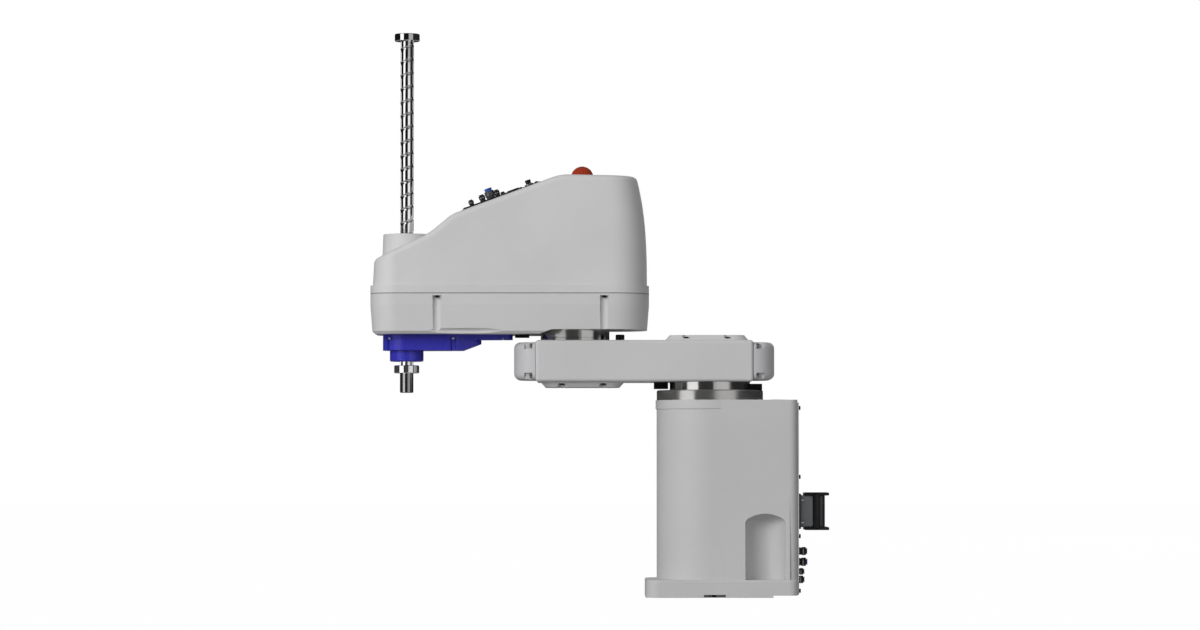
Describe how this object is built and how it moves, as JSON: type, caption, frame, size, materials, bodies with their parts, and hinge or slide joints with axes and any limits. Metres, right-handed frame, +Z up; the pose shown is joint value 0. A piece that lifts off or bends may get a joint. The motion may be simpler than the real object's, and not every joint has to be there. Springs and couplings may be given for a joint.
{
  "type": "scara robot",
  "caption": "Horizontal-arm assembly robot: fixed column, two swinging arms and a vertical ball-screw spline shaft that lifts and turns a tool.",
  "frame": {"origin": "on the first joint's axis at the mounting face of the base", "axes": "+Z up along the first joint's axis, arms reach along -X at rest, +Y to the side"},
  "size_m": [0.6779, 0.168, 0.8354],
  "materials": {
    "white_paint": "satin paint over cast aluminium",
    "base_paint": "satin paint over cast aluminium",
    "white_moulding": "fine-textured moulded cover",
    "blue_moulding": "blue moulded plastic",
    "blue_fitting": "blue push-in fitting",
    "black_plastic": "black moulded plastic",
    "grey_plastic": "dark grey connector body",
    "lamp_lens": "orange-red ribbed lens",
    "ground_steel": "ground bright steel",
    "black_steel": "black oxide steel",
    "zinc_steel": "zinc-plated steel",
    "machined_aluminium": "machined aluminium",
    "motor_paint": "black motor body",
    "belt_rubber": "toothed drive belt, drawn flat"
  },
  "bodies": {
    "base": {"base_column": "base_paint", "rear_panel": "base_paint", "rear_panel_screws": "black_steel", "base_plug": "base_paint", "foot_screws": "black_steel", "power_socket": "grey_plastic", "socket_hood": "black_plastic", "socket_screws": "zinc_steel", "air_fittings": "black_plastic", "blue_air_fitting": "blue_fitting", "j1_reducer": "ground_steel", "j1_motor": "motor_paint", "j1_fixed_stop": "black_steel"},
    "arm1": {"j1_output_flange": "ground_steel", "arm1_casting": "white_paint", "arm1_rear_cap": "white_moulding", "arm1_front_cap": "white_moulding", "arm1_cap_screws": "zinc_steel", "j1_top_cover": "white_moulding", "j2_bottom_cover": "white_moulding", "cover_plate_screws": "black_steel", "j1_moving_stop": "black_steel", "j2_stop_pins": "black_steel", "j2_output_flange": "ground_steel"},
    "arm2": {"j2_reducer": "ground_steel", "j2_motor": "motor_paint", "j2_stop_plate": "black_steel", "arm2_housing": "white_paint", "groove_screws": "black_steel", "arm2_cover": "white_moulding", "user_plate": "black_plastic", "user_fittings": "black_plastic", "signal_fitting": "blue_fitting", "button_collar": "zinc_steel", "status_lamp": "lamp_lens", "nut_housing": "blue_moulding", "nut_housing_screws": "zinc_steel", "drive_bracket": "machined_aluminium", "j3_motor_plate": "machined_aluminium", "ball_nut_bearing": "ground_steel", "spline_bearing": "ground_steel", "j4_motor": "motor_paint", "j3_motor": "motor_paint", "j3_brake": "motor_paint", "j4_belt": "belt_rubber", "j3_belt": "belt_rubber"},
    "spline_drive": {"spline_nut": "ground_steel", "j4_nut_pulley": "machined_aluminium"},
    "ball_drive": {"ball_nut": "ground_steel", "j3_nut_pulley": "machined_aluminium"},
    "j4_motor_rotor": {"j4_motor_pulley": "machined_aluminium"},
    "j3_motor_rotor": {"j3_motor_pulley": "machined_aluminium"},
    "brake_release": {"brake_button": "black_plastic"},
    "shaft": {"z_shaft": "ground_steel", "lower_collar": "ground_steel", "upper_collar": "ground_steel"}
  },
  "joints": [
    {"name": "j1", "type": "hinge", "parent": "base", "child": "arm1", "pos_m": [0, 0, 0.305], "axis": [0, 0, 1], "range_deg": [-152, 152]},
    {"name": "j2", "type": "hinge", "parent": "arm1", "child": "arm2", "pos_m": [-0.2, 0, 0.382], "axis": [0, 0, 1], "range_deg": [-147.5, 147.5]},
    {"name": "j4", "type": "hinge", "parent": "arm2", "child": "spline_drive", "pos_m": [-0.45, 0, 0.37], "axis": [0, 0, 1], "range_deg": [-360, 360]},
    {"name": "j3", "type": "slide", "parent": "spline_drive", "child": "shaft", "axis": [0, 0, -1], "range_m": [0, 0.33]},
    {"name": "ball_nut_spin", "type": "hinge", "parent": "arm2", "child": "ball_drive", "pos_m": [-0.45, 0, 0.45], "axis": [0, 0, 1], "range_deg": [-2, 5942]},
    {"name": "j3_motor_spin", "type": "hinge", "parent": "arm2", "child": "j3_motor_rotor", "pos_m": [-0.297, 0, 0.45], "axis": [0, 0, 1], "range_deg": [-2, 5942]},
    {"name": "j4_motor_spin", "type": "hinge", "parent": "arm2", "child": "j4_motor_rotor", "pos_m": [-0.368, 0, 0.41], "axis": [0, 0, 1], "range_deg": [-749.7, 749.7]},
    {"name": "brake_button_push", "type": "slide", "parent": "arm2", "child": "brake_release", "axis": [0.3469, 0, -0.9379], "range_m": [0, 0.003], "stiffness_N_per_m": 400, "springref_m": -0.002}
  ],
  "couplings": [
    {"joint": "ball_nut_spin", "follows": "j3", "rad_per_m": 314.16},
    {"joint": "j3_motor_spin", "follows": "j3", "rad_per_m": 314.16},
    {"joint": "j4_motor_spin", "follows": "j4", "ratio": 2.0769}
  ]
}
